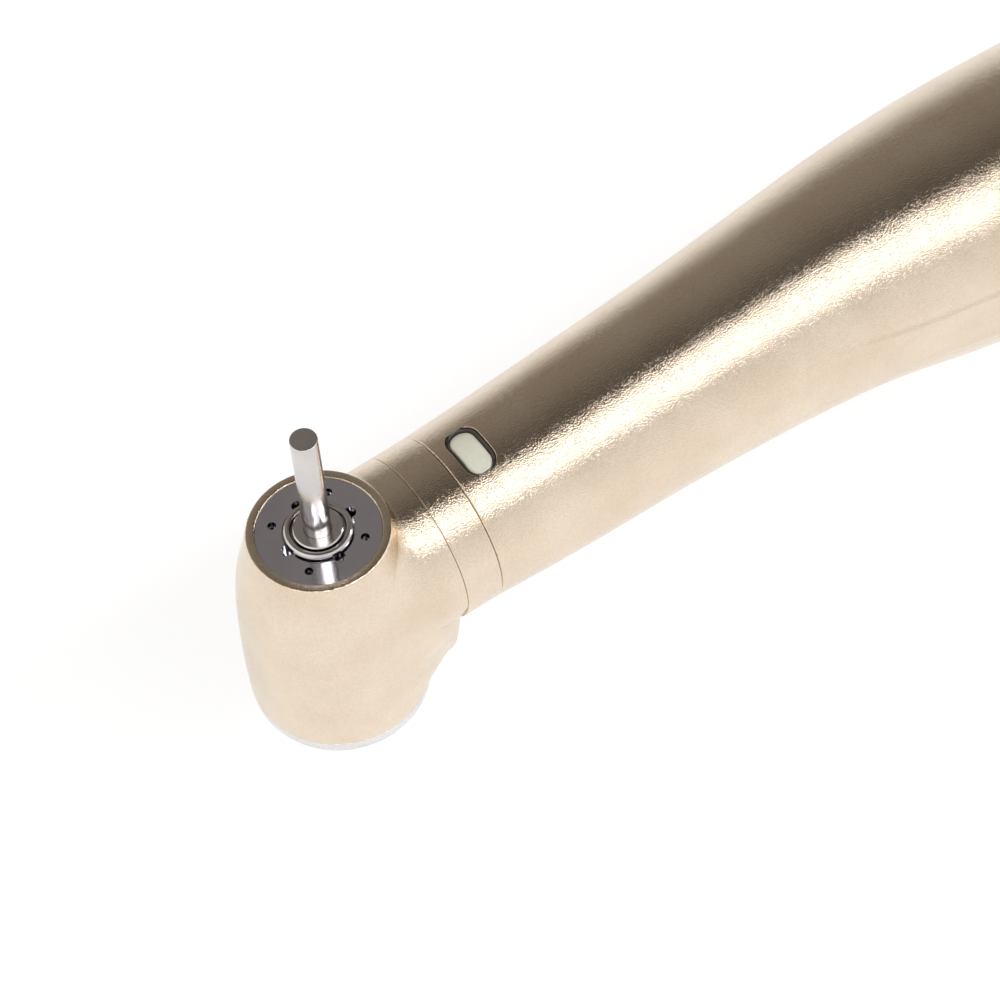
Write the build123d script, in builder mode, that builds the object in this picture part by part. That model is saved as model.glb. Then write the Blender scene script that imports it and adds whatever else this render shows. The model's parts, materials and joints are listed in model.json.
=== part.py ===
"""Speed-raising dental handpiece, head end with its bur, elbow gears and motor coupling.

All sizes are in millimetres. The origin is the centre of the motor face, +X runs out of it
towards the motor, and the bur points to +Z. The neck leans 8 degrees from the rear axis.
"""
import os
from math import cos, sin, radians, degrees, pi
from build123d import *

# ---- frame: three axes, rear, neck and bur ----
bend = 8.0
rear_reach = 54.0
neck_reach = 37.0
neck_drop = 6.31
lean = radians(bend)
elbow = Vector(-rear_reach, 0, 0)
neck_dir = Vector(cos(lean), 0, sin(lean))
bur_dir = Vector(-sin(lean), 0, cos(lean))
neck_origin = elbow - neck_dir * neck_reach
head_origin = neck_origin + bur_dir * neck_drop

HEAD = Plane(origin=head_origin, x_dir=neck_dir, z_dir=bur_dir)
NECK = Plane(origin=neck_origin, x_dir=(0, 1, 0), z_dir=neck_dir)
REAR = Plane.YZ
# side planes: local x runs along the turning axis, local y is the radius
BUR_SIDE = Plane(origin=head_origin, x_dir=bur_dir, z_dir=(0, 1, 0))
NECK_SIDE = Plane(origin=neck_origin, x_dir=neck_dir, z_dir=(0, -1, 0))
REAR_SIDE = Plane.XZ

# ---- head ----
rim_r = 4.13
face_r = 3.60
face_depth = 0.10
face_t = 0.80
opening_r = 2.08
spray_radius = 2.68
spray_hole_r = 0.25
notch_radius = 2.15
notch_r = 0.34
cavity_r = 4.10
head_bottom = -14.30
cap_bottom = -16.05

# ---- bur and spindle ----
bur_r = 0.80
bur_out = 8.98
bur_in = 11.0
head_bearing = dict(width=1.60, bore_r=1.5875, outer_r=3.175, balls=7)
front_seat = -2.50
rear_seat = -12.40

# ---- gears ----
spindle_teeth = 9
crown_teeth = 18
pinion_teeth = 10
cup_teeth = 25
pinion_pitch_r = 1.70
pinion_apex = 18.44
cup_apex = 18.02
tooth_shrink = 0.8807

# ---- neck ----
seam_front = 6.08
seam_rear = 8.45
collar_r = 5.25
neck_bore_r = 4.50
carrier_r = 4.00
neck_bearing = dict(width=1.80, bore_r=1.25, outer_r=2.90, balls=7)
neck_front_seat = 5.00
neck_rear_seat = 46.50
neck_shaft_r = 1.10

# ---- light window ----
window_at = 10.28
window_long = 3.70
window_wide = 2.10
gasket_wall = 0.26

# ---- rear ----
rear_bore_r = 6.90
rear_bore_start = -47.2
shell_end = -24.50
sleeve_r = 8.00
motor_bore_r = 6.75
motor_bore_len = 13.0
inner_bore_r = 5.90
floor_x = -23.0
drive_bearing = dict(width=2.00, bore_r=1.50, outer_r=4.00, balls=8)
drive_front_seat = -34.0
drive_rear_seat = -27.8
pipe_r = 0.50
pipe_ring_rear = 6.10
pipe_ring_neck = 3.65
race_gap = 0.04


def axis_of(plane):
    return Axis(plane.origin, plane.x_dir)


def turned(label, plane, points):
    """A turned piece from the corners of its half profile, given as (along, radius)."""
    with BuildPart() as piece:
        with BuildSketch(plane):
            with BuildLine():
                Polyline(*points, close=True)
            make_face()
        revolve(axis=axis_of(plane))
    piece.part.label = label
    return piece


def wire_ring(label, plane, along, ring_r, wire_r):
    """A round ring of round section, such as a seal."""
    with BuildPart() as piece:
        with BuildSketch(plane):
            with Locations((along, ring_r)):
                Circle(wire_r)
        revolve(axis=axis_of(plane))
    piece.part.label = label
    return piece


def tooth_points(teeth, root_r, tip_r, root_w, tip_w, first, shrink=1.0):
    """Corners of a ring of straight-flanked teeth, the first one centred on the angle first."""
    corners = []
    for i in range(teeth):
        middle = radians(first + 360 * i / teeth)
        for radius, half in ((root_r, -root_w / 2), (tip_r, -tip_w / 2), (tip_r, tip_w / 2), (root_r, root_w / 2)):
            angle = middle + half / radius
            corners.append((shrink * radius * cos(angle), shrink * radius * sin(angle)))
    return corners


def ball_bearing(name, plane, start, width, bore_r, outer_r, balls):
    """Inner ring, outer ring, and the balls held in their cage."""
    middle = start + width / 2
    pitch_r = (bore_r + outer_r) / 2
    ball_r = 0.26 * (outer_r - bore_r)
    land = 0.55 * ball_r
    inner_t = pitch_r - land - bore_r
    with BuildPart() as inner:
        with BuildSketch(plane):
            with Locations((middle, bore_r + inner_t / 2)):
                Rectangle(width, inner_t)
            with Locations((middle, pitch_r)):
                Circle(ball_r + race_gap, mode=Mode.SUBTRACT)
        revolve(axis=axis_of(plane))
    inner.part.label = name + "_inner_ring"
    with BuildPart() as outer:
        with BuildSketch(plane):
            with Locations((middle, outer_r - inner_t / 2)):
                Rectangle(width, inner_t)
            with Locations((middle, pitch_r)):
                Circle(ball_r + race_gap, mode=Mode.SUBTRACT)
        revolve(axis=axis_of(plane))
    outer.part.label = name + "_outer_ring"
    with BuildPart() as cage:
        with BuildSketch(plane):
            with Locations((middle, pitch_r)):
                Rectangle(2.3 * ball_r, 0.5 * ball_r)
        revolve(axis=axis_of(plane))
        for i in range(balls):
            turn = 2 * pi * (i + 0.3) / balls
            with Locations(plane.from_local_coords((middle, pitch_r * cos(turn), pitch_r * sin(turn)))):
                Sphere(ball_r)
    cage.part.label = name + "_balls"
    return [inner, outer, cage]


def coil(label, centre, direction, radius, height, turns, wire_r):
    """A compression spring of round wire."""
    with BuildPart() as spring:
        with BuildLine():
            path = Helix(pitch=height / turns, height=height, radius=radius, center=centre, direction=direction)
        with BuildSketch(Plane(origin=path @ 0, z_dir=path % 0)):
            Circle(wire_r)
        sweep()
    spring.part.label = label
    return spring


# ================= head =================
with BuildPart() as head_housing:
    with BuildSketch(BUR_SIDE):
        with BuildLine():
            side = Spline((0, rim_r), (-1.7, 4.52), (-3.4, 4.95), (-5.6, 5.25), (-8.0, 5.37), (-12.2, 5.40),
                          (head_bottom, 5.33))
            Polyline(side @ 1, (head_bottom, 0), (0, 0), side @ 0)
        make_face()
    revolve(axis=axis_of(BUR_SIDE))
    # heel under the neck: its sides leave the barrel and close in towards the bottom
    for height, root_x, root_y, end_y in ((-neck_drop, 0.6, 5.22, 5.20), (head_bottom, 1.83, 5.0, 3.45)):
        with BuildSketch(HEAD.offset(height)):
            with BuildLine():
                Polyline((root_x, -root_y), (seam_front, -end_y), (seam_front, end_y), (root_x, root_y), close=True)
            make_face()
    loft(ruled=True)
    with BuildSketch(NECK):
        Circle(collar_r)
    extrude(amount=seam_front)
    heel_edges = edges().filter_by(lambda e: e.length > 5 and abs((e @ 0.5 - head_origin).dot(neck_dir) - seam_front) < 0.01
                                   and (e @ 0.5 - head_origin).dot(bur_dir) < -9)
    fillet(heel_edges, 0.7)
    # front bearing seat, gear space, and the way into the neck
    with BuildSketch(HEAD.offset(0.5)):
        Circle(face_r)
    extrude(amount=-0.5 - face_depth - face_t, mode=Mode.SUBTRACT)
    with BuildSketch(HEAD.offset(-0.8)):
        Circle(head_bearing["outer_r"])
    extrude(amount=-2.0, mode=Mode.SUBTRACT)
    with BuildSketch(HEAD.offset(front_seat)):
        Circle(cavity_r)
    extrude(amount=-13.0, mode=Mode.SUBTRACT)
    with BuildSketch(NECK):
        Circle(carrier_r)
    extrude(amount=8.0, mode=Mode.SUBTRACT)
    # water and air channels in the stub wall, rising to a groove under the face ring
    for side_angle in (62, 118):
        cy = 4.62 * cos(radians(side_angle))
        cz = 4.62 * sin(radians(side_angle))
        with BuildSketch(NECK.offset(seam_front + 0.5)):
            with Locations((cy, cz)):
                Circle(0.3)
        extrude(amount=-4.0, mode=Mode.SUBTRACT)
        with BuildSketch(HEAD.offset(-0.5)):
            with Locations((2.75, cy)):
                Circle(0.3)
        extrude(amount=-1.9, mode=Mode.SUBTRACT)
head_housing.part.label = "head_housing"

with BuildPart() as face_ring:
    with BuildSketch(HEAD.offset(-face_depth - face_t)):
        Circle(face_r)
        Circle(opening_r, mode=Mode.SUBTRACT)
        with PolarLocations(notch_radius, 4):
            Circle(notch_r, mode=Mode.SUBTRACT)
        with PolarLocations(spray_radius, 4, start_angle=45):
            Circle(spray_hole_r, mode=Mode.SUBTRACT)
    extrude(amount=face_t)
    with BuildSketch(HEAD.offset(-face_depth - face_t)):
        Circle(3.45)
        Circle(2.62, mode=Mode.SUBTRACT)
    extrude(amount=0.25, mode=Mode.SUBTRACT)
face_ring.part.label = "face_ring"

bearing_holder = turned("bearing_holder", BUR_SIDE, [
    (-10.60, 3.175), (-10.60, cavity_r), (-12.90, cavity_r), (-12.90, 2.30), (-12.65, 2.30), (-12.65, 3.175)])
head_wave_washer = turned("head_wave_washer", BUR_SIDE, [
    (-12.40, 2.75), (-12.40, 3.175), (-12.65, 3.175), (-12.65, 2.75)])

with BuildPart() as cap_ring:
    with BuildSketch(BUR_SIDE):
        with BuildLine():
            edge = Spline((head_bottom, 5.33), (-15.15, 5.22), (-15.72, 4.86), (cap_bottom, 4.30))
            Polyline(edge @ 1, (cap_bottom, 3.0), (-15.25, 3.0), (-15.25, 3.50), (-12.90, 3.50),
                     (-12.90, cavity_r), (head_bottom, cavity_r), edge @ 0)
        make_face()
    revolve(axis=axis_of(BUR_SIDE))
cap_ring.part.label = "cap_ring"

push_button = turned("push_button", BUR_SIDE, [
    (-13.35, 0), (-13.35, 1.20), (-14.75, 1.20), (-14.75, 2.50), (-14.25, 2.50), (-14.25, 3.42),
    (-15.22, 3.42), (-15.22, 2.92), (-15.62, 2.92), (-15.76, 2.70), (-15.80, 2.0), (-15.80, 0)])
button_spring = coil("button_spring", HEAD.from_local_coords((0, 0, -14.12)), bur_dir, 2.95, 1.09, 2.5, 0.12)

# ================= spindle, chuck and bur =================
with BuildPart() as spindle:
    with BuildSketch(BUR_SIDE):
        with BuildLine():
            Polyline((0.15, 1.56), (0.26, 1.62), (0.30, 1.72), (0.28, 1.86), (0.18, 1.96), (0.05, 1.985),
                     (-0.86, 1.985), (-0.86, 1.5875), (-2.55, 1.5875), (-2.55, 1.24), (-10.60, 1.24),
                     (-10.60, 1.5875), (-12.55, 1.5875), (-12.70, 1.45), (-12.70, 1.0), (-0.60, 1.0),
                     (-0.60, 1.56), close=True)
        make_face()
    revolve(axis=axis_of(BUR_SIDE))
    with BuildSketch(HEAD.offset(-10.60)):
        with BuildLine():
            Polyline(*tooth_points(spindle_teeth, 1.22, 1.92, 0.50, 0.22, 0), close=True)
        make_face()
        Circle(1.15, mode=Mode.SUBTRACT)
    extrude(amount=2.40)
spindle.part.label = "spindle"

with BuildPart() as chuck_collet:
    with BuildSketch(BUR_SIDE):
        with BuildLine():
            Polyline((0.34, 0.82), (0.34, 1.38), (0.27, 1.45), (-0.60, 1.45), (-0.60, 1.0), (-12.0, 1.0),
                     (-12.0, 0.82), close=True)
        make_face()
    revolve(axis=axis_of(BUR_SIDE))
    with BuildSketch(HEAD.offset(-12.5)):
        with PolarLocations(1.0, 3, start_angle=30):
            Rectangle(1.0, 0.16)
    extrude(amount=6.5, mode=Mode.SUBTRACT)
chuck_collet.part.label = "chuck_collet"

bur = turned("bur", BUR_SIDE, [
    (bur_out, 0), (bur_out, bur_r - 0.08), (bur_out - 0.08, bur_r), (-bur_in + 0.25, bur_r),
    (-bur_in, bur_r - 0.25), (-bur_in, 0)])

spindle_front = ball_bearing("spindle_front", BUR_SIDE, front_seat, **head_bearing)
spindle_rear = ball_bearing("spindle_rear", BUR_SIDE, rear_seat, **head_bearing)

# ================= neck =================
collar_ring = turned("collar_ring", NECK_SIDE, [
    (seam_front, carrier_r), (seam_front, collar_r), (seam_rear, collar_r), (seam_rear, carrier_r)])

neck_front_end = neck_front_seat + neck_bearing["width"]
neck_carrier = turned("neck_carrier", NECK_SIDE, [
    (4.70, 2.45), (4.70, carrier_r), (seam_rear, carrier_r), (seam_rear, neck_bore_r), (13.0, neck_bore_r),
    (13.0, 1.60), (7.20, 1.60), (7.20, 2.90), (neck_front_seat, 2.90), (neck_front_seat, 2.45)])
with BuildPart() as neck_carrier_cut:
    add(neck_carrier.part)
    # slot for the light guide, pipe sockets, and the seal groove
    with BuildSketch(NECK.offset(9.2)):
        with Locations((0, 3.9)):
            Rectangle(1.3, 1.7)
    extrude(amount=5.0, mode=Mode.SUBTRACT)
    for side_angle in (40, 140):
        with BuildSketch(NECK.offset(9.0)):
            with Locations((pipe_ring_neck * cos(radians(side_angle)), pipe_ring_neck * sin(radians(side_angle)))):
                Circle(pipe_r)
        extrude(amount=5.0, mode=Mode.SUBTRACT)
    with BuildSketch(NECK_SIDE):
        with Locations((7.55, 3.85)):
            Rectangle(0.56, 0.5)
    revolve(axis=axis_of(NECK_SIDE), mode=Mode.SUBTRACT)
neck_carrier = neck_carrier_cut
neck_carrier.part.label = "neck_carrier"
neck_seal = wire_ring("neck_seal", NECK_SIDE, 7.55, 3.80, 0.20)
neck_circlip = turned("neck_circlip", NECK_SIDE, [
    (neck_front_end, 2.30), (neck_front_end, 2.90), (7.15, 2.90), (7.15, 2.30)])

with BuildPart() as crown_gear:
    with BuildSketch(NECK_SIDE):
        with BuildLine():
            Polyline((2.10, 0), (2.10, 3.55), (2.80, 3.55), (3.10, 2.00), (4.20, 2.00), (4.20, 0), close=True)
        make_face()
    revolve(axis=axis_of(NECK_SIDE))
    for i in range(crown_teeth):
        turn = radians(-80 + 360 * i / crown_teeth)
        outward = Vector(0, 1, 0) * cos(turn) + bur_dir * sin(turn)
        with BuildSketch(Plane(origin=neck_origin + outward * 2.75, x_dir=neck_dir, z_dir=outward)):
            with BuildLine():
                Polyline((1.34, -0.11), (1.34, 0.11), (2.15, 0.24), (2.15, -0.24), close=True)
            make_face()
        extrude(amount=0.80)
    with BuildSketch(NECK):
        Circle(0.80)
    extrude(amount=6.0, mode=Mode.SUBTRACT)
crown_gear.part.label = "crown_gear"

shaft_end = neck_reach + pinion_apex
neck_shaft = turned("neck_shaft", NECK_SIDE, [
    (2.30, 0), (2.30, 0.80), (4.20, 0.80), (4.20, 1.60), (neck_front_seat, 1.60), (neck_front_seat, 1.25),
    (neck_front_end + 0.1, 1.25), (neck_front_end + 0.1, neck_shaft_r), (neck_rear_seat - 0.6, neck_shaft_r),
    (neck_rear_seat - 0.6, 1.60), (neck_rear_seat, 1.60), (neck_rear_seat, 1.25), (48.50, 1.25), (48.50, 0.90),
    (shaft_end, 0.90), (shaft_end, 0)])

neck_front = ball_bearing("neck_front", NECK_SIDE, neck_front_seat, **neck_bearing)
neck_rear = ball_bearing("neck_rear", NECK_SIDE, neck_rear_seat, **neck_bearing)

with BuildPart() as elbow_pinion:
    for shrink in (tooth_shrink, 1.0):
        with BuildSketch(NECK.offset(neck_reach + pinion_apex * shrink)):
            with BuildLine():
                Polyline(*tooth_points(pinion_teeth, 1.32, 1.94, 0.46, 0.18, 90, shrink), close=True)
            make_face()
    loft(ruled=True)
    with BuildSketch(NECK.offset(48.60)):
        Circle(1.60)
    extrude(amount=2.40)
    with BuildSketch(NECK.offset(48.60)):
        Circle(1.12)
    extrude(amount=neck_reach + pinion_apex * tooth_shrink + 0.1 - 48.60)
    with BuildSketch(NECK.offset(48.0)):
        Circle(0.90)
    extrude(amount=10.0, mode=Mode.SUBTRACT)
elbow_pinion.part.label = "elbow_pinion"

# ================= body shell and light window =================
with BuildPart() as body_shell:
    for along, rise, radius in ((seam_rear, 0, collar_r), (14.0, 0.0, 5.50), (21.0, 0.22, 5.74),
                                (28.5, 0.33, 6.14), (36.0, 0.22, 6.84)):
        with BuildSketch(NECK.offset(along)):
            with Locations((0, rise)):
                Circle(radius)
    for along, rise, radius in ((-46.96, 0.19, 7.77), (-36.9, 0.40, 8.10), (-30.0, 0.16, 8.45), (shell_end, 0, 8.80)):
        with BuildSketch(REAR.offset(along)):
            with Locations((0, rise)):
                Circle(radius)
    loft()
    # hollow: neck bore, widening, rear bore
    with BuildSketch(NECK.offset(8.0)):
        Circle(neck_bore_r)
    extrude(amount=22.05, mode=Mode.SUBTRACT)
    with BuildSketch(NECK.offset(30.0)):
        Circle(neck_bore_r)
    with BuildSketch(REAR.offset(rear_bore_start)):
        Circle(rear_bore_r)
    loft(mode=Mode.SUBTRACT)
    with BuildSketch(REAR.offset(rear_bore_start - 0.05)):
        Circle(rear_bore_r)
    extrude(amount=30.0, mode=Mode.SUBTRACT)
    with BuildSketch(HEAD.offset(-neck_drop)):
        with Locations((window_at, 0)):
            SlotOverall(window_long, window_wide, rotation=90)
    extrude(amount=8.0, mode=Mode.SUBTRACT)
body_shell.part.label = "body_shell"

with BuildPart() as window_gasket:
    with BuildSketch(HEAD.offset(-neck_drop + 4.2)):
        with Locations((window_at, 0)):
            SlotOverall(window_long, window_wide, rotation=90)
            SlotOverall(window_long - 2 * gasket_wall, window_wide - 2 * gasket_wall, rotation=90,
                        mode=Mode.SUBTRACT)
    extrude(amount=2.0)
    with BuildSketch(NECK.offset(8.0)):
        Circle(5.22)
        Circle(neck_bore_r, mode=Mode.SUBTRACT)
    extrude(amount=5.0, mode=Mode.INTERSECT)
window_gasket.part.label = "window_gasket"

with BuildPart() as window_lens:
    with BuildSketch(HEAD.offset(-neck_drop + 4.2)):
        with Locations((window_at, 0)):
            SlotOverall(window_long - 2 * gasket_wall, window_wide - 2 * gasket_wall, rotation=90)
    extrude(amount=2.0)
    with BuildSketch(NECK.offset(8.0)):
        Circle(5.12)
        Circle(neck_bore_r, mode=Mode.SUBTRACT)
    extrude(amount=5.0, mode=Mode.INTERSECT)
window_lens.part.label = "window_lens"


def rear_point(along, radius, angle):
    return Vector(along, radius * cos(radians(angle)), radius * sin(radians(angle)))


def neck_point(along, radius, angle):
    return NECK.from_local_coords((radius * cos(radians(angle)), radius * sin(radians(angle)), along))


def pipe(label, angle, front_points):
    """A pipe or rod from the motor face, along the rear bore, over the elbow and down the neck."""
    back = rear_point(floor_x - 0.4, pipe_ring_rear, angle)
    over = rear_point(-45.4, pipe_ring_rear, angle)
    down = neck_point(31.0, pipe_ring_neck, angle)
    with BuildPart() as run:
        with BuildLine():
            Line(back, over)
            Spline(over, down, tangents=(Vector(-1, 0, 0), -neck_dir))
            if len(front_points) == 1:
                Line(down, front_points[0])
            else:
                Line(down, front_points[0])
                Spline(*front_points, tangents=(-neck_dir, bur_dir * 0.8 - neck_dir))
        with BuildSketch(Plane(origin=back, z_dir=(-1, 0, 0))):
            Circle(pipe_r)
        sweep()
    run.part.label = label
    return run


water_tube = pipe("water_tube", 40, [neck_point(9.0, pipe_ring_neck, 40)])
air_tube = pipe("air_tube", 140, [neck_point(9.0, pipe_ring_neck, 140)])
light_guide = pipe("light_guide", 90, [neck_point(13.2, pipe_ring_neck, 90), neck_point(10.9, 4.05, 90)])

# ================= elbow and rear works =================
with BuildPart() as elbow_carrier:
    with BuildSketch(REAR.offset(-45.4)):
        Circle(rear_bore_r)
    extrude(amount=3.6)
    with BuildSketch(NECK.offset(neck_rear_seat)):
        Circle(neck_bearing["outer_r"])
    extrude(amount=8.0, mode=Mode.SUBTRACT)
    with BuildSketch(NECK.offset(40.0)):
        Circle(2.30)
    extrude(amount=10.0, mode=Mode.SUBTRACT)
    with BuildSketch(REAR.offset(-46.0)):
        for side_angle in (40, 90, 140):
            with Locations((pipe_ring_rear * cos(radians(side_angle)), pipe_ring_rear * sin(radians(side_angle)))):
                Circle(pipe_r + 0.05)
        with Locations((0, -5.0)):
            Circle(0.6)
    extrude(amount=6.0, mode=Mode.SUBTRACT)
elbow_carrier.part.label = "elbow_carrier"

with BuildPart() as cup_gear:
    with BuildSketch(REAR_SIDE):
        with BuildLine():
            Polyline((-38.25, 0), (-38.25, 5.05), (-37.95, 5.30), (-34.75, 5.30), (-34.40, 4.95), (-34.40, 2.40),
                     (drive_front_seat, 2.40), (drive_front_seat, 0), close=True)
        make_face()
    revolve(axis=axis_of(REAR_SIDE))
    for shrink in (tooth_shrink - 0.02, 1.038):
        with BuildSketch(REAR.offset(-rear_reach + cup_apex * shrink)):
            with BuildLine():
                Polyline(*tooth_points(cup_teeth, 3.98, 4.68, 0.80, 0.70, 90, shrink), close=True)
            make_face()
    loft(ruled=True, mode=Mode.SUBTRACT)
    with BuildSketch(REAR.offset(-38.5)):
        Circle(1.10)
    extrude(amount=8.0, mode=Mode.SUBTRACT)
cup_gear.part.label = "cup_gear"

bearing_sleeve = turned("bearing_sleeve", REAR_SIDE, [
    (-34.0, 4.0), (-34.0, rear_bore_r), (-25.8, rear_bore_r), (-25.8, 4.0), (-28.2, 4.0), (-28.2, 3.4),
    (-32.0, 3.4), (-32.0, 4.0)])
with BuildPart() as bearing_sleeve_cut:
    add(bearing_sleeve.part)
    with BuildSketch(REAR.offset(-35.0)):
        for side_angle in (40, 90, 140):
            with Locations((pipe_ring_rear * cos(radians(side_angle)), pipe_ring_rear * sin(radians(side_angle)))):
                Circle(pipe_r + 0.05)
    extrude(amount=12.0, mode=Mode.SUBTRACT)
bearing_sleeve = bearing_sleeve_cut
bearing_sleeve.part.label = "bearing_sleeve"

drive_wave_washer = turned("drive_wave_washer", REAR_SIDE, [
    (-28.2, 3.50), (-28.2, 4.0), (-27.8, 4.0), (-27.8, 3.50)])
drive_front = ball_bearing("drive_front", REAR_SIDE, drive_front_seat, **drive_bearing)
drive_rear = ball_bearing("drive_rear", REAR_SIDE, drive_rear_seat, **drive_bearing)

with BuildPart() as drive_shaft:
    with BuildSketch(REAR_SIDE):
        with BuildLine():
            Polyline((-35.10, 0), (-35.10, 1.10), (drive_front_seat, 1.10), (drive_front_seat, 1.50),
                     (-32.0, 1.50), (-32.0, 1.90), (-27.8, 1.90), (-27.8, 1.50), (-25.8, 1.50), (-25.8, 1.90),
                     (-25.0, 1.90), (-25.0, 1.30), (-14.8, 1.30), (-14.5, 1.0), (-14.5, 0), close=True)
        make_face()
    revolve(axis=axis_of(REAR_SIDE))
    with BuildSketch(Plane.XZ.offset(-4.0)):
        with Locations((-18.3, 0)):
            Circle(0.40)
    extrude(amount=8.0, mode=Mode.SUBTRACT)
drive_shaft.part.label = "drive_shaft"

with BuildPart() as drive_dog:
    with BuildSketch(REAR_SIDE):
        with BuildLine():
            Polyline((-20.8, 1.30), (-20.8, 2.10), (-20.2, 2.60), (-16.4, 2.60), (-16.0, 2.30), (-13.6, 2.30),
                     (-13.6, 1.30), close=True)
        make_face()
    revolve(axis=axis_of(REAR_SIDE))
    with BuildSketch(REAR.offset(-13.0)):
        Rectangle(1.5, 6.0)
    extrude(amount=-2.4, mode=Mode.SUBTRACT)
    with BuildSketch(Plane.XZ.offset(-4.0)):
        with Locations((-18.3, 0)):
            Circle(0.40)
    extrude(amount=8.0, mode=Mode.SUBTRACT)
drive_dog.part.label = "drive_dog"
with BuildPart() as dog_pin:
    with BuildSketch(Plane.XZ.offset(-2.55)):
        with Locations((-18.3, 0)):
            Circle(0.40)
    extrude(amount=5.1)
dog_pin.part.label = "dog_pin"

coupling_sleeve = turned("coupling_sleeve", REAR_SIDE, [
    (-25.8, 3.30), (-25.8, rear_bore_r), (shell_end, rear_bore_r), (shell_end, sleeve_r), (-0.3, sleeve_r),
    (0, 7.70), (0, 7.05), (-0.3, motor_bore_r), (-motor_bore_len, motor_bore_r),
    (-motor_bore_len - 0.85, inner_bore_r), (floor_x, inner_bore_r), (floor_x, 3.30)])
with BuildPart() as coupling_sleeve_cut:
    add(coupling_sleeve.part)
    with BuildSketch(REAR.offset(-27.0)):
        for side_angle in (40, 90, 140):
            with Locations((pipe_ring_rear * cos(radians(side_angle)), pipe_ring_rear * sin(radians(side_angle)))):
                Circle(pipe_r)
    extrude(amount=3.6, mode=Mode.SUBTRACT)
    # ports angled in from the pipe ends to the coupling floor
    with BuildSketch(REAR.offset(-23.6)):
        for side_angle in (40, 90, 140):
            with Locations((5.0 * cos(radians(side_angle)), 5.0 * sin(radians(side_angle)))):
                Circle(0.45)
    extrude(amount=2.0, mode=Mode.SUBTRACT)
coupling_sleeve = coupling_sleeve_cut
coupling_sleeve.part.label = "coupling_sleeve"

colour_band = turned("colour_band", REAR_SIDE, [
    (shell_end, sleeve_r), (shell_end, 8.84), (-24.2, 8.98), (-23.2, 9.0), (-22.9, 8.90), (-22.9, sleeve_r)])

with BuildPart() as rear_grip:
    with BuildSketch(REAR_SIDE):
        with BuildLine():
            back = Spline((-22.9, 8.90), (-14.0, 9.30), (-5.0, 9.40), (-1.4, 9.20))
            Polyline(back @ 1, (-1.4, sleeve_r), (-22.9, sleeve_r), back @ 0)
        make_face()
        for i in range(9):
            with Locations((-19.5 + 1.6 * i, 9.50)):
                Circle(0.36, mode=Mode.SUBTRACT)
    revolve(axis=axis_of(REAR_SIDE))
rear_grip.part.label = "rear_grip"

end_ring = turned("end_ring", REAR_SIDE, [
    (-1.4, sleeve_r), (-1.4, 9.18), (-0.6, 9.05), (-0.3, 8.80), (-0.3, sleeve_r)])

groups = [spindle_front, spindle_rear, neck_front, neck_rear, drive_front, drive_rear]
singles = [head_housing, face_ring, bearing_holder, head_wave_washer, cap_ring, push_button, button_spring,
           spindle, chuck_collet, bur, collar_ring, neck_carrier, neck_seal, neck_circlip, crown_gear,
           neck_shaft, elbow_pinion, body_shell, window_gasket, window_lens, water_tube, air_tube, light_guide,
           elbow_carrier, cup_gear, bearing_sleeve, drive_wave_washer, drive_shaft, drive_dog, dog_pin,
           coupling_sleeve, colour_band, rear_grip, end_ring]
os.makedirs("parts", exist_ok=True)
for piece in singles + [member for group in groups for member in group]:
    export_step(piece.part, "parts/" + piece.part.label + ".step")
    print(piece.part.label, round(piece.part.volume, 3), len(piece.part.solids()))
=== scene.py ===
import json
import math
import bmesh
import bpy
import numpy as np
from mathutils import Matrix, Vector


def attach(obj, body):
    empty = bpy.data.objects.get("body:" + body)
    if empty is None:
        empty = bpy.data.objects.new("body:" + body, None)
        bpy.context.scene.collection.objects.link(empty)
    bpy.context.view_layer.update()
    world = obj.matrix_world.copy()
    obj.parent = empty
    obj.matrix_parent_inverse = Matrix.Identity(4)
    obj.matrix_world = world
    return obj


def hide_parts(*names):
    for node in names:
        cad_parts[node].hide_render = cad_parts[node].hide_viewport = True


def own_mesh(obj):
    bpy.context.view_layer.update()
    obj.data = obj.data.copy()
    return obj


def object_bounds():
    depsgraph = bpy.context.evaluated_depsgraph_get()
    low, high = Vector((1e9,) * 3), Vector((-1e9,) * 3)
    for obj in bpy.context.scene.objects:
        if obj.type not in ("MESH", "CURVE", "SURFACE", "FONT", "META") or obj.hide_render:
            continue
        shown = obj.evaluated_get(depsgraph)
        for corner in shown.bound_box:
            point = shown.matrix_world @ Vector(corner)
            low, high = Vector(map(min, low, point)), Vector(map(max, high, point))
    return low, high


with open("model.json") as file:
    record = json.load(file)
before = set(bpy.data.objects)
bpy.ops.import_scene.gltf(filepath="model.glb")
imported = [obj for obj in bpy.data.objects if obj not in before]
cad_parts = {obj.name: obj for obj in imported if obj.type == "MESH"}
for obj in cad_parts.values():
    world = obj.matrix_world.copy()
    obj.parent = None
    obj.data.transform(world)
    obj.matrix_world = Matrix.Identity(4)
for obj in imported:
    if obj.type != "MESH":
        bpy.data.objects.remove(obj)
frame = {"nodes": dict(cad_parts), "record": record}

cad_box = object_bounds()
record = frame["record"]
joints = {j["name"]: j for j in record["behaviour"]["joints"]}
MM = 0.001

# ---------- frames, from the record's joints ----------
Y = np.array([0.0, 1.0, 0.0])
NECK = np.array(joints["neck_spin"]["axis"], float)
BUR = np.array(joints["rotor_spin"]["axis"], float)
CROSS = np.array(joints["rotor_spin"]["pos_m"], float)
NECK_DROP = 6.31 * MM
RIM = CROSS + BUR * NECK_DROP
REAR = np.array([1.0, 0.0, 0.0])
UP = np.array([0.0, 0.0, 1.0])
ORIGIN = np.zeros(3)

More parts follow.
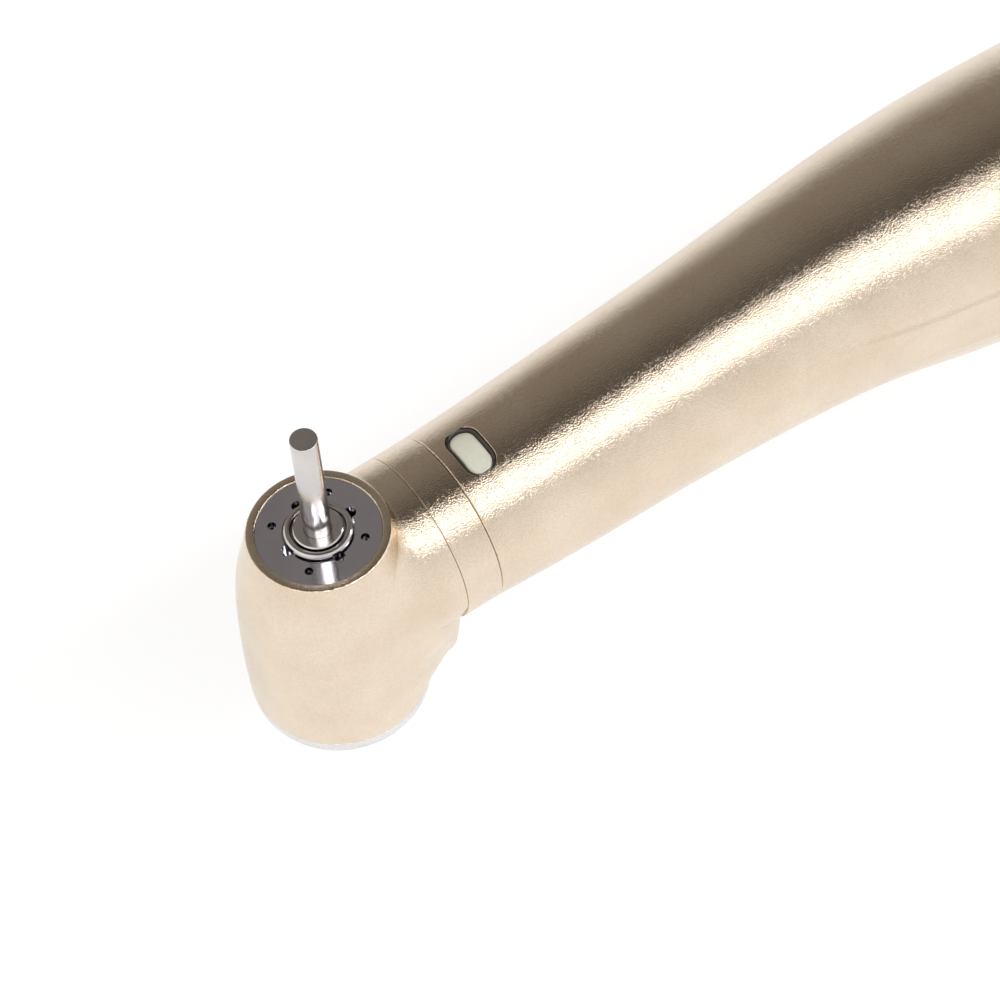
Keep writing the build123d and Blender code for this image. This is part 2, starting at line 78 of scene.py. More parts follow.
SEAM_FRONT, SEAM_REAR = 6.08, 8.45
COLLAR_R = 5.25
NECK_BORE_R = 4.0
HEAD_BOTTOM, CAVITY_R = -14.30, 4.10
BARREL = [(0.0, 4.13), (1.7, 4.52), (3.4, 4.95), (5.6, 5.25), (8.0, 5.37), (12.2, 5.40), (14.3, 5.33)]


# ---------- mesh helpers ----------
def spline(knots, values):
    """A natural cubic spline through the values, returned as a function."""
    x = np.asarray(knots, float)
    y = np.asarray(values, float)
    h = np.diff(x)
    n = len(x)
    a = np.zeros((n, n))
    b = np.zeros(n)
    a[0, 0] = a[-1, -1] = 1
    for i in range(1, n - 1):
        a[i, i - 1:i + 2] = h[i - 1], 2 * (h[i - 1] + h[i]), h[i]
        b[i] = 3 * ((y[i + 1] - y[i]) / h[i] - (y[i] - y[i - 1]) / h[i - 1])
    c = np.linalg.solve(a, b)

    def value(t):
        t = np.asarray(t, float)
        i = np.clip(np.searchsorted(x, t) - 1, 0, n - 2)
        d = t - x[i]
        slope = (y[i + 1] - y[i]) / h[i] - h[i] * (2 * c[i] + c[i + 1]) / 3
        return y[i] + d * (slope + d * (c[i] + d * (c[i + 1] - c[i]) / (3 * h[i])))
    return value


def smooth(edge0, edge1, t):
    s = np.clip((t - edge0) / (edge1 - edge0), 0, 1)
    return s * s * (3 - 2 * s)


def add_mesh(name, verts, faces, body, slot, node=None, sharp=40):
    mesh = bpy.data.meshes.new(name)
    mesh.from_pydata([tuple(v) for v in verts], [], faces)
    mesh.validate()
    bm = bmesh.new()
    bm.from_mesh(mesh)
    bmesh.ops.remove_doubles(bm, verts=bm.verts, dist=1e-7)
    bmesh.ops.recalc_face_normals(bm, faces=bm.faces)
    for face in bm.faces:
        face.smooth = True
    for edge in bm.edges:
        edge.smooth = len(edge.link_faces) != 2 or edge.calc_face_angle(0) < math.radians(sharp)
    bm.to_mesh(mesh)
    bm.free()
    piece = bpy.data.objects.new(name, mesh)
    bpy.context.scene.collection.objects.link(piece)
    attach(piece, body)
    if node:
        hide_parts(node)
    mesh.materials.append(materials[slot])
    return piece


def loops_to_faces(loops, count, start=0, closed_ends=True):
    """Quads between rings of count points each; the last ring joins the first when closed."""
    faces = []
    rings = loops if closed_ends else loops - 1
    for i in range(rings):
        a = start + i * count
        b = start + ((i + 1) % loops) * count
        for k in range(count):
            m = (k + 1) % count
            faces.append((a + k, a + m, b + m, b + k))
    return faces


def rounded(points, steps=5):
    """Corner points (along, radius, fillet) made into a profile with rounded corners."""
    out = []
    n = len(points)
    for i, (a, r, f) in enumerate(points):
        p = np.array([a, r], float)
        if f == 0:
            out.append(p)
            continue
        before = np.array(points[i - 1][:2], float) - p
        after = np.array(points[(i + 1) % n][:2], float) - p
        lb, la = np.linalg.norm(before), np.linalg.norm(after)
        cut = min(f, 0.48 * lb, 0.48 * la)
        p0, p1 = p + before / lb * cut, p + after / la * cut
        for k in range(steps + 1):
            t = k / steps
            out.append((1 - t) ** 2 * p0 + 2 * t * (1 - t) * p + t ** 2 * p1)
    return np.array(out)


def lathe_rings(profile, origin, axis, side, count):
    other = np.cross(axis, side)
    turn = np.linspace(0, 2 * np.pi, count, endpoint=False)
    ring = np.cos(turn)[:, None] * side + np.sin(turn)[:, None] * other
    return np.concatenate([origin + axis * a * MM + ring * r * MM for a, r in profile])


def lathe(name, points, origin, axis, side, body, slot, node=None, count=192, steps=5, sharp=40):
    """A turned piece from its closed half profile; radius 0 points close it on the axis."""
    profile = rounded(points, steps=steps)
    verts = lathe_rings(profile, origin, axis, side, count)
    faces = loops_to_faces(len(profile), count)
    return add_mesh(name, verts, faces, body, slot, node, sharp)


# ---------- materials ----------
def node_group(name, inputs, outputs):
    tree = bpy.data.node_groups.new(name, "ShaderNodeTree")
    for label, kind, default in inputs:
        socket = tree.interface.new_socket(label, in_out="INPUT", socket_type=kind)
        socket.default_value = default
    for label, kind in outputs:
        tree.interface.new_socket(label, in_out="OUTPUT", socket_type=kind)
    return tree, tree.nodes.new("NodeGroupInput"), tree.nodes.new("NodeGroupOutput")


def math_node(tree, operation, a, b=None):
    node = tree.nodes.new("ShaderNodeMath")
    node.operation = operation
    for i, value in enumerate((a, b)):
        if value is None:
            continue
        if isinstance(value, (int, float)):
            node.inputs[i].default_value = value
        else:
            tree.links.new(value, node.inputs[i])
    return node.outputs[0]


def noise_node(tree, vector, scale, detail=2.0, dims="3D"):
    node = tree.nodes.new("ShaderNodeTexNoise")
    node.noise_dimensions = dims
    node.inputs["Detail"].default_value = detail
    if dims == "1D":
        tree.links.new(vector, node.inputs["W"])
    else:
        tree.links.new(vector, node.inputs["Vector"])
    if isinstance(scale, (int, float)):
        node.inputs["Scale"].default_value = scale
    else:
        tree.links.new(scale, node.inputs["Scale"])
    return node.outputs["Fac"]


def bump_node(tree, height, strength, distance):
    node = tree.nodes.new("ShaderNodeBump")
    node.inputs["Distance"].default_value = distance
    tree.links.new(height, node.inputs["Height"])
    if isinstance(strength, (int, float)):
        node.inputs["Strength"].default_value = strength
    else:
        tree.links.new(strength, node.inputs["Strength"])
    return node.outputs["Normal"]


# blasted metal: fine grain that glints, and slow cloudiness
blast, gin, gout = node_group("blasted_grain",
    [("Scale", "NodeSocketFloat", 9000.0), ("Strength", "NodeSocketFloat", 0.5)],
    [("Normal", "NodeSocketVector"), ("Grain", "NodeSocketFloat"), ("Cloud", "NodeSocketFloat")])
coord = blast.nodes.new("ShaderNodeTexCoord").outputs["Object"]
cells = blast.nodes.new("ShaderNodeTexVoronoi")
blast.links.new(coord, cells.inputs["Vector"])
blast.links.new(gin.outputs["Scale"], cells.inputs["Scale"])
grain = noise_node(blast, coord, gin.outputs["Scale"], 3.0)
height = math_node(blast, "ADD", grain, math_node(blast, "MULTIPLY", cells.outputs["Distance"], 0.7))
blast.links.new(bump_node(blast, height, gin.outputs["Strength"], 0.00006), gout.inputs["Normal"])
blast.links.new(cells.outputs["Color"], gout.inputs["Grain"])
blast.links.new(noise_node(blast, coord, 260.0, 3.0), gout.inputs["Cloud"])

# turned or ground metal: fine rings about an axis
turning, gin, gout = node_group("turning_marks",
    [("Origin", "NodeSocketVector", (0, 0, 0)), ("Axis", "NodeSocketVector", (1, 0, 0)),
     ("Scale", "NodeSocketFloat", 9000.0), ("Strength", "NodeSocketFloat", 0.3)],
    [("Normal", "NodeSocketVector"), ("Line", "NodeSocketFloat"), ("Cloud", "NodeSocketFloat")])
coord = turning.nodes.new("ShaderNodeTexCoord").outputs["Object"]


def vector_node(tree, operation, a, b=None):
    node = tree.nodes.new("ShaderNodeVectorMath")
    node.operation = operation
    tree.links.new(a, node.inputs[0])
    if b is not None:
        tree.links.new(b, node.inputs[1])
    return node


offset = vector_node(turning, "SUBTRACT", coord, gin.outputs["Origin"]).outputs[0]
along = vector_node(turning, "DOT_PRODUCT", offset, gin.outputs["Axis"]).outputs["Value"]
across = vector_node(turning, "CROSS_PRODUCT", offset, gin.outputs["Axis"]).outputs[0]
radius = vector_node(turning, "LENGTH", across).outputs["Value"]
position = math_node(turning, "ADD", along, radius)
line = noise_node(turning, position, gin.outputs["Scale"], 2.0, "1D")
turning.links.new(bump_node(turning, line, gin.outputs["Strength"], 0.000004), gout.inputs["Normal"])
turning.links.new(line, gout.inputs["Line"])
turning.links.new(noise_node(turning, coord, 420.0, 3.0), gout.inputs["Cloud"])

materials = {}


def new_material(slot, metallic, roughness):
    material = bpy.data.materials.new(slot)
    material.use_nodes = True
    tree = material.node_tree
    shader = tree.nodes["Principled BSDF"]
    shader.inputs["Metallic"].default_value = metallic
    shader.inputs["Roughness"].default_value = roughness
    materials[slot] = material
    return tree, shader


def colour_ramp(tree, factor, low, high, start=0.3, end=0.7):
    ramp = tree.nodes.new("ShaderNodeValToRGB")
    ramp.color_ramp.elements[0].position = start
    ramp.color_ramp.elements[1].position = end
    ramp.color_ramp.elements[0].color = (*low, 1)
    ramp.color_ramp.elements[1].color = (*high, 1)
    tree.links.new(factor, ramp.inputs["Fac"])
    return ramp.outputs["Color"]


def value_range(tree, factor, low, high, start=0.3, end=0.7):
    node = tree.nodes.new("ShaderNodeMapRange")
    node.inputs["From Min"].default_value = start
    node.inputs["From Max"].default_value = end
    node.inputs["To Min"].default_value = low
    node.inputs["To Max"].default_value = high
    tree.links.new(factor, node.inputs["Value"])
    return node.outputs["Result"]


def blasted(slot, low, high, rough, scale, strength, metallic=1.0, speckle=0.06):
    tree, shader = new_material(slot, metallic, rough)
    grain = tree.nodes.new("ShaderNodeGroup")
    grain.node_tree = blast
    grain.inputs["Scale"].default_value = scale
    grain.inputs["Strength"].default_value = strength
    speckled = tree.nodes.new("ShaderNodeVectorMath")
    speckled.operation = "SCALE"
    tree.links.new(colour_ramp(tree, grain.outputs["Cloud"], low, high), speckled.inputs[0])
    tint = value_range(tree, grain.outputs["Grain"], 1 - speckle, 1 + speckle / 2, 0.1, 0.9)
    tree.links.new(tint, speckled.inputs["Scale"])
    tree.links.new(speckled.outputs[0], shader.inputs["Base Color"])
    uneven = value_range(tree, grain.outputs["Grain"], rough - 0.07, rough + 0.07, 0, 1)
    tree.links.new(uneven, shader.inputs["Roughness"])
    tree.links.new(grain.outputs["Normal"], shader.inputs["Normal"])
    return tree, shader


def turned_metal(slot, low, high, rough, scale, strength, origin, axis):
    tree, shader = new_material(slot, 1.0, rough)
    marks = tree.nodes.new("ShaderNodeGroup")
    marks.node_tree = turning
    marks.inputs["Origin"].default_value = tuple(origin)
    marks.inputs["Axis"].default_value = tuple(axis)
    marks.inputs["Scale"].default_value = scale
    marks.inputs["Strength"].default_value = strength
    tree.links.new(colour_ramp(tree, marks.outputs["Cloud"], low, high), shader.inputs["Base Color"])
    uneven = value_range(tree, marks.outputs["Line"], rough - 0.05, rough + 0.08)
    tree.links.new(uneven, shader.inputs["Roughness"])
    tree.links.new(marks.outputs["Normal"], shader.inputs["Normal"])
    return tree, shader


blasted("champagne_metal", (0.74, 0.61, 0.47), (0.80, 0.68, 0.54), 0.15, 12500.0, 0.31)
turned_metal("mirror_steel", (0.62, 0.61, 0.67), (0.68, 0.67, 0.74), 0.10, 16000.0, 0.12, RIM, BUR)
blasted("cap_silver", (0.70, 0.69, 0.69), (0.78, 0.77, 0.77), 0.24, 12000.0, 0.34)
turned_metal("bur_steel", (0.58, 0.55, 0.54), (0.66, 0.63, 0.62), 0.17, 22000.0, 0.30, RIM, BUR)
turned_metal("bearing_steel", (0.60, 0.61, 0.63), (0.70, 0.71, 0.73), 0.12, 18000.0, 0.2, ORIGIN, REAR)
turned_metal("gear_steel", (0.42, 0.40, 0.38), (0.52, 0.50, 0.48), 0.25, 9000.0, 0.4, ORIGIN, REAR)
turned_metal("spring_steel", (0.50, 0.51, 0.53), (0.60, 0.61, 0.63), 0.2, 12000.0, 0.3, RIM, BUR)
turned_metal("carrier_brass", (0.66, 0.47, 0.20), (0.74, 0.55, 0.26), 0.24, 9000.0, 0.4, ORIGIN, REAR)
turned_metal("pipe_steel", (0.56, 0.56, 0.57), (0.66, 0.66, 0.67), 0.22, 12000.0, 0.3, ORIGIN, REAR)
blasted("seal_rubber", (0.018, 0.018, 0.018), (0.03, 0.03, 0.03), 0.6, 8000.0, 0.3, metallic=0.0)
blasted("gasket_black", (0.05, 0.04, 0.035), (0.08, 0.065, 0.055), 0.16, 9000.0, 0.06, metallic=0.6)
tree, shader = blasted("band_red", (0.40, 0.012, 0.012), (0.48, 0.02, 0.018), 0.25, 6000.0, 0.08,
                       metallic=0.0, speckle=0.04)
shader.inputs["Coat Weight"].default_value = 0.6
tree, shader = blasted("window_glass", (0.94, 0.93, 0.78), (1.0, 0.99, 0.87), 0.12, 5000.0, 0.03,
                       metallic=0.0, speckle=0.02)
shader.inputs["Transmission Weight"].default_value = 0.08
shader.inputs["IOR"].default_value = 1.5
shader.inputs["Coat Weight"].default_value = 0.5

# ---------- head shell: turned barrel, then stub, fillet and heel ----------
INSIDE = 0.004
HEAD_COUNT = 256
barrel_r = spline([z for z, r in BARREL], [r - INSIDE for z, r in BARREL])


def barrel_point(phi, depth):
    """A point on the barrel's outside, phi from the neck towards -Y, depth below the rim."""
    r = barrel_r(depth)
    outward = NECK * (r * np.cos(phi))[:, None] - Y * (r * np.sin(phi))[:, None]
    return RIM + MM * (outward - BUR * depth[:, None])


profile = [(-float(d), float(barrel_r(d))) for d in np.linspace(0.09, 14.22, 90)]
profile += [(-14.27, 5.315), (HEAD_BOTTOM, 5.27), (HEAD_BOTTOM, CAVITY_R), (-2.50, CAVITY_R), (-2.50, 3.60),
            (-0.16, 3.60), (-0.06, 3.615), (-0.015, 3.66), (0.0, 3.72), (0.0, 4.03), (-0.03, 4.10)]
head_verts = lathe_rings(profile, RIM, BUR, NECK, HEAD_COUNT)
head_faces = loops_to_faces(len(profile), HEAD_COUNT)

STUB_COUNT = 360
psi = np.linspace(0, 2 * np.pi, STUB_COUNT, endpoint=False)
fold = np.degrees(np.minimum(psi, 2 * np.pi - psi))
side_sign = np.where(psi <= np.pi, 1.0, -1.0)
# where the fillet's foot lies on the barrel: angle round the neck, angle round the bur, depth
foot = np.array([(0, 0, 0.32), (20, 28, 0.72), (40, 59, 1.6), (55, 80, 2.6), (67, 96, 3.9), (80, 106, 5.3),
                 (92, 108, 6.6), (105, 100, 7.9), (120, 90, 9.3), (135, 80, 10.9), (147, 73, 12.4),
                 (157, 64, 13.85), (168, 30, 14.2), (180, 0, 14.25)])
foot_phi = np.radians(spline(foot[:, 0], foot[:, 1])(fold)) * side_sign
FOOT_LOWEST = 14.25
foot_depth = np.minimum(spline(foot[:, 0], foot[:, 2])(fold), FOOT_LOWEST)
away = np.clip(-np.cos(psi), 1e-3, 1)
heel_side = 5.2 / (np.abs(np.sin(psi)) + 0.219 * away)
heel_bottom = 7.94 / away
sharpness = 9.0
heel_r = (heel_side ** -sharpness + heel_bottom ** -sharpness) ** (-1 / sharpness)
lower = smooth(95, 128, fold)
end_r = np.maximum(COLLAR_R, np.where(fold > 92, heel_r, 0))
end_r = COLLAR_R + (end_r - COLLAR_R) * lower
ring_dir = -np.sin(psi)[:, None] * Y + np.cos(psi)[:, None] * BUR


def stub_ring(along, radius):
    along = np.broadcast_to(np.asarray(along, float), psi.shape)
    radius = np.broadcast_to(np.asarray(radius, float), psi.shape)
    return CROSS + MM * (NECK * along[:, None] + ring_dir * radius[:, None])


def unit(v):
    return v / np.linalg.norm(v, axis=1)[:, None]


p0 = barrel_point(foot_phi, foot_depth)
crease_at = 4.62 - 0.24 * smooth(20, 90, fold)
first_at = crease_at * (1 - lower) + 5.35 * lower
p1 = stub_ring(first_at, end_r)
radial = unit(NECK * np.cos(foot_phi)[:, None] - Y * np.sin(foot_phi)[:, None])
chord = p1 - p0
size = np.linalg.norm(chord, axis=1)[:, None]
start_dir = unit(chord - radial * np.sum(chord * radial, axis=1)[:, None])
crease_dir = unit(NECK[None, :] * np.ones((STUB_COUNT, 1)) + 0.42 * ring_dir)
end_dir = unit(crease_dir * (1 - lower)[:, None] + unit(chord) * lower[:, None])
rings = []
for t in np.linspace(0, 1, 26):
    h00, h10 = 2 * t ** 3 - 3 * t ** 2 + 1, t ** 3 - 2 * t ** 2 + t
    h01, h11 = -2 * t ** 3 + 3 * t ** 2, t ** 3 - t ** 2
    rings.append(h00 * p0 + h10 * size * start_dir * 0.9 + h01 * p1 + h11 * size * end_dir * 0.9)
under = radial * 0.05 * MM
rings.insert(0, p0 - under * 12)
rings[1] = p0 - under * 0.3
for t in (0.3, 0.6, 0.8, 0.92):
    rings.append(stub_ring(first_at + (6.0 - first_at) * t, end_r - lower * 0.34 * t ** 3))
rings.append(stub_ring(6.05, end_r - 0.012 - lower * 0.42))
rings.append(stub_ring(SEAM_FRONT, end_r - 0.05 - lower * 0.55))
rings.append(stub_ring(SEAM_FRONT, COLLAR_R - 0.06 - 0.6 * lower))
rings.append(stub_ring(SEAM_FRONT, NECK_BORE_R))
rings.append(stub_ring(4.6, NECK_BORE_R))
stub_verts = np.concatenate(rings)
stub_faces = loops_to_faces(len(rings), STUB_COUNT, start=len(head_verts))
add_mesh("head_shell", np.concatenate([head_verts, stub_verts]), head_faces + stub_faces, "housing",
         "champagne_metal", "head_housing", sharp=38)

# ---------- collar ring ----------
COLLAR_FRONT, COLLAR_REAR = SEAM_FRONT + 0.012, SEAM_REAR - 0.025
lathe("collar", [(COLLAR_FRONT, NECK_BORE_R, 0), (COLLAR_FRONT, COLLAR_R, 0.07),
                 (COLLAR_REAR, COLLAR_R, 0.045), (COLLAR_REAR, NECK_BORE_R, 0)],
      CROSS, NECK, BUR, "housing", "champagne_metal", "collar_ring", 256)

# ---------- body shell ----------
# sections as (along, rise, radius): the first five lie on the neck axis, the rest on the rear axis
SEAM_GAP = 0.02
NECK_SECTIONS = [(SEAM_REAR + SEAM_GAP, 0, COLLAR_R), (14.0, 0.0, 5.50), (21.0, 0.22, 5.74),
                 (28.5, 0.33, 6.14), (36.0, 0.22, 6.84)]
REAR_SECTIONS = [(-46.96, 0.19, 7.77), (-36.9, 0.40, 8.10), (-30.0, 0.16, 8.45), (-24.52, 0, 8.80)]
knots = []
for along, rise, radius in NECK_SECTIONS:
    centre = CROSS / MM + NECK * along + BUR * rise
    knots.append((centre[0], centre[2], radius))
knots.extend(REAR_SECTIONS)
knots = np.array(knots)
length = np.concatenate([[0], np.cumsum(np.hypot(np.diff(knots[:, 0]), np.diff(knots[:, 1])))])
centre_x, centre_z, body_r = (spline(length, knots[:, i]) for i in range(3))
LEAN = math.atan2(NECK[2], NECK[0])
NECK_END, ELBOW_END = length[4], length[5]


def section(s):
    """Centre and up direction of the body at a length s behind the collar."""
    lean = LEAN * (1 - smooth(NECK_END - 2, ELBOW_END + 2, s))
    return np.array([centre_x(s), 0, centre_z(s)]), np.array([-math.sin(lean), 0, math.cos(lean)])


def ridge(s, turn):
    """Height of the two soft side lines that start where the body swells, both sides alike."""
    steep, gentle = 3.2, 12.0
    fold = np.abs((np.degrees(turn) + 180) % 360 - 180)
    height = 0.0
    upper_at = 67.5 + 8.0 * smooth(NECK_END - 6.0, ELBOW_END - 6.0, s)
    for line_at, begins, tall in ((upper_at, NECK_END - 6.5, 0.15), (102.0, NECK_END - 1.5, 0.09)):
        grow = tall * smooth(begins, begins + 9.0, s) * (1 - smooth(length[6] - 1.0, length[8] - 1.5, s))
        rise = np.clip(1 - (line_at - fold) / steep, 0, 1) ** 2 * (fold <= line_at)
        fall = np.clip(1 - (fold - line_at) / gentle, 0, 1) ** 2 * (fold > line_at)
        height = height + grow * (rise + fall)
    return height


def body_ring(s, radius, angles, lines=0.0):
    centre, up = section(s)
    radius = (radius + lines * ridge(s, angles))[:, None] if lines else radius
    return MM * (centre + radius * (np.cos(angles)[:, None] * up - np.sin(angles)[:, None] * Y))


WINDOW_AT = 10.28 - SEAM_REAR - SEAM_GAP
WINDOW_LONG, WINDOW_WIDE = 3.70, 2.10
PATCH_S = (0.55, 3.05)
PATCH_COLUMNS = 18
PATCH_STEPS = 7


def stadium(bearings, inset=0.0):
    """Points round the window's outline as (along, across), one for each given angle."""
    straight = (WINDOW_LONG - WINDOW_WIDE) / 2
    r = WINDOW_WIDE / 2 - inset
    points = []
    for a in bearings:
        c, s = math.cos(a), math.sin(a)
        # ray from the centre to the rounded outline; the long way is across
        t = r / max(abs(c), 1e-9)
        if abs(t * s) > straight:
            b = straight * abs(s)
            t = b + math.sqrt(max(b * b - straight * straight + r * r, 0))
        points.append((t * c, t * s))
    return np.array(points)


def top_point(along, across, radius_of, drop=0.0):
    """A point on the top of the neck, drop below the surface of the given radius."""
    s = WINDOW_AT + along
    centre, up = section(s)
    r = radius_of(s) - drop
    return MM * (centre + up * math.sqrt(r * r - across * across) - Y * across)


AROUND = 360
angles = np.linspace(0, 2 * np.pi, AROUND, endpoint=False)
first_rows = [0.0, 0.008, 0.02, 0.04, 0.065, 0.09, 0.2, 0.38]
patch_rows = list(np.linspace(*PATCH_S, 11))
rest_rows = list(np.linspace(PATCH_S[1], length[-1] - 0.05, 104))[1:]
rows = first_rows + patch_rows + rest_rows + [length[-1] - 0.015, length[-1]]


def edge_drop(s):
    """How far the skin rounds off towards either end."""
    deepest, reach = 0.07, 0.09
    near = min(s, length[-1] - s)
    return deepest * max(0.0, 1 - near / reach) ** 1.6


def inner_radius(s):
    neck_inside, widening = 4.5, 1.9
    return neck_inside + widening * smooth(length[3] + 1.0, length[5] - 1.0, s)


body_verts = []
body_faces = []


def add_shell(radius_of, lines):
    """One skin of the body with the window left out; returns the window's edge and its bearings."""
    start = len(body_verts)
    for s in rows:
        body_verts.extend(body_ring(s, radius_of(s), angles, lines))
    lo = len(first_rows)
    hi = lo + len(patch_rows) - 1
    for i in range(len(rows) - 1):
        for k in range(AROUND):
            signed = k if k < AROUND // 2 else k - AROUND
            if lo <= i < hi and -PATCH_COLUMNS <= signed < PATCH_COLUMNS:
                continue
            m = (k + 1) % AROUND
            a, b = start + i * AROUND, start + (i + 1) * AROUND
            body_faces.append((a + k, a + m, b + m, b + k))
    # boundary of the patch, walked once round
    loop = [(lo, k) for k in range(-PATCH_COLUMNS, PATCH_COLUMNS)]
    loop += [(i, PATCH_COLUMNS) for i in range(lo, hi)]
    loop += [(hi, k) for k in range(PATCH_COLUMNS, -PATCH_COLUMNS, -1)]
    loop += [(i, -PATCH_COLUMNS) for i in range(hi, lo, -1)]
    outline = []
    for i, k in loop:
        s = rows[i]
        outline.append((s - WINDOW_AT, radius_of(s) * math.sin(angles[k % AROUND])))
    bearings = [math.atan2(y, x) for x, y in outline]
    hole = stadium(bearings)
    previous = [start + i * AROUND + (k % AROUND) for i, k in loop]
    for step in range(1, PATCH_STEPS + 1):
        t = 1 - (1 - step / PATCH_STEPS) ** 1.5
        ring = []
        for (x0, y0), (x1, y1) in zip(outline, hole):
            x, y = x0 + (x1 - x0) * t, y0 + (y1 - y0) * t
            body_verts.append(top_point(x, y, radius_of))
            ring.append(len(body_verts) - 1)
        for j in range(len(loop)):
            m = (j + 1) % len(loop)
            body_faces.append((previous[j], previous[m], ring[m], ring[j]))
        previous = ring
    return previous, bearings


outer_loop, bearings = add_shell(lambda s: body_r(s) - edge_drop(s), lines=1.0)
# rounded lip of the window, then its wall
lip_rings = [outer_loop]
for inset, drop in ((0.012, 0.004), (0.03, 0.02), (0.04, 0.05)):
    ring = []
    for x, y in stadium(bearings, inset):
        body_verts.append(top_point(x, y, body_r, drop))
        ring.append(len(body_verts) - 1)
    lip_rings.append(ring)
inner_start = len(body_verts)
inner_loop, _ = add_shell(inner_radius, lines=0.0)
lip_rings.append(inner_loop)
for upper, low in zip(lip_rings, lip_rings[1:]):
    for j in range(len(upper)):
        m = (j + 1) % len(upper)
        body_faces.append((upper[j], upper[m], low[m], low[j]))
for row in (0, len(rows) - 1):
    a, b = row * AROUND, inner_start + row * AROUND
    for k in range(AROUND):
        m = (k + 1) % AROUND
        body_faces.append((a + k, a + m, b + m, b + k))
add_mesh("body", body_verts, body_faces, "housing", "champagne_metal", "body_shell", sharp=35)

# ---------- window gasket and lens ----------
RIM_COUNT = 120
fine = np.linspace(0, 2 * np.pi, RIM_COUNT, endpoint=False)


def window_rings(steps):
    """Outlines inside the window, each step an (inset, drop) from the opening's edge."""
    verts = []
    for inset, drop in steps:
        verts.extend(top_point(x, y, body_r, drop) for x, y in stadium(fine, inset))
    return verts


steps = [(0.045, 0.9), (0.045, 0.10), (0.055, 0.065), (0.08, 0.05), (0.11, 0.055), (0.15, 0.085),
         (0.21, 0.15), (0.26, 0.22), (0.28, 0.30), (0.28, 0.9)]
add_mesh("window_rim", window_rings(steps), loops_to_faces(len(steps), RIM_COUNT), "housing", "gasket_black",
         "window_gasket", sharp=60)
steps = [(0.285, 0.80), (0.285, 0.30), (0.30, 0.255), (0.34, 0.23), (0.45, 0.205), (0.65, 0.185),
         (0.85, 0.175), (1.0, 0.172)]
verts = window_rings(steps)
faces = loops_to_faces(len(steps), RIM_COUNT, closed_ends=False)
faces.append(tuple(range((len(steps) - 1) * RIM_COUNT, len(steps) * RIM_COUNT)))
faces.append(tuple(range(RIM_COUNT - 1, -1, -1)))
add_mesh("window_pane", verts, faces, "housing", "window_glass", "window_lens", sharp=60)

# ---------- turned outside pieces ----------
lathe("cap_rim", [(-14.32, 4.1, 0), (-14.32, 5.31, 0.05), (-15.20, 5.20, 0.5), (-15.76, 4.80, 0.4),
                  (-16.04, 4.25, 0.35), (-16.04, 3.0, 0.08), (-15.25, 3.0, 0), (-15.25, 3.5, 0),
                  (-12.9, 3.5, 0), (-12.9, 4.1, 0)],
      RIM, BUR, NECK, "housing", "cap_silver", "cap_ring")
lathe("shank", [(8.98, 0.0, 0), (8.98, 0.80, 0.09), (-10.9, 0.80, 0.2), (-11.0, 0.0, 0)],
      RIM, BUR, NECK, "bur", "bur_steel", "bur", 128)
lathe("band", [(-24.5, 8.0, 0), (-24.5, 8.86, 0.06), (-23.7, 9.02, 0.4), (-22.9, 8.90, 0.06), (-22.9, 8.0, 0)],
      ORIGIN, REAR, UP, "housing", "band_red", "colour_band")

# ---------- button spring: a wire coil of even pitch ----------------------------------------------
SPRING_R, WIRE_R, SPRING_TURNS = 2.95, 0.12, 2.5
SPRING_LOW, SPRING_HIGH = -14.12, -13.03
WIRE_COUNT = 14
coil_turn = np.linspace(0, 2 * np.pi * SPRING_TURNS, 180)
wire_turn = np.linspace(0, 2 * np.pi, WIRE_COUNT, endpoint=False)
coil_verts = []
for turn in coil_turn:
    outward = NECK * math.cos(turn) + Y * math.sin(turn)
    level = SPRING_LOW + (SPRING_HIGH - SPRING_LOW) * turn / coil_turn[-1]
    reach = outward * (SPRING_R + WIRE_R * np.cos(wire_turn))[:, None]
    height = BUR * (level + WIRE_R * np.sin(wire_turn))[:, None]
    coil_verts.extend(RIM + (reach + height) * MM)
coil_faces = loops_to_faces(len(coil_turn), WIRE_COUNT, closed_ends=False)
coil_faces.append(tuple(range(WIRE_COUNT)))
coil_faces.append(tuple(range(len(coil_verts) - WIRE_COUNT, len(coil_verts))))
spring = add_mesh("button_coil", coil_verts, coil_faces, "button", "spring_steel", "button_spring")
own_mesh(spring)

# ---------- CAD nodes keep their shape and take the materials ----------
for name, node in frame["nodes"].items():
    slot = next(s["material_slot"] for s in record["subparts"] if s["node"] == name)
    node.data.materials.clear()
    node.data.materials.append(materials[slot])

# ---------- floor, light and camera ----------
FLOOR_DROP, FLOOR_HALF = 0.010, 3.0
FLOOR_Z = cad_box[0][2] - FLOOR_DROP
floor_mesh = bpy.data.meshes.new("floor")
corners = [(-1, -1), (1, -1), (1, 1), (-1, 1)]
floor_mesh.from_pydata([(x * FLOOR_HALF, y * FLOOR_HALF, FLOOR_Z) for x, y in corners], [], [(0, 1, 2, 3)])
floor = bpy.data.objects.new("floor", floor_mesh)
bpy.context.scene.collection.objects.link(floor)
pale = bpy.data.materials.new("pale_floor")
pale.use_nodes = True
shader = pale.node_tree.nodes["Principled BSDF"]
shader.inputs["Base Color"].default_value = (0.34, 0.34, 0.34, 1)
shader.inputs["Roughness"].default_value = 0.9
shader.inputs["Emission Color"].default_value = (1, 1, 1, 1)
shader.inputs["Emission Strength"].default_value = 0.80
floor_mesh.materials.append(pale)

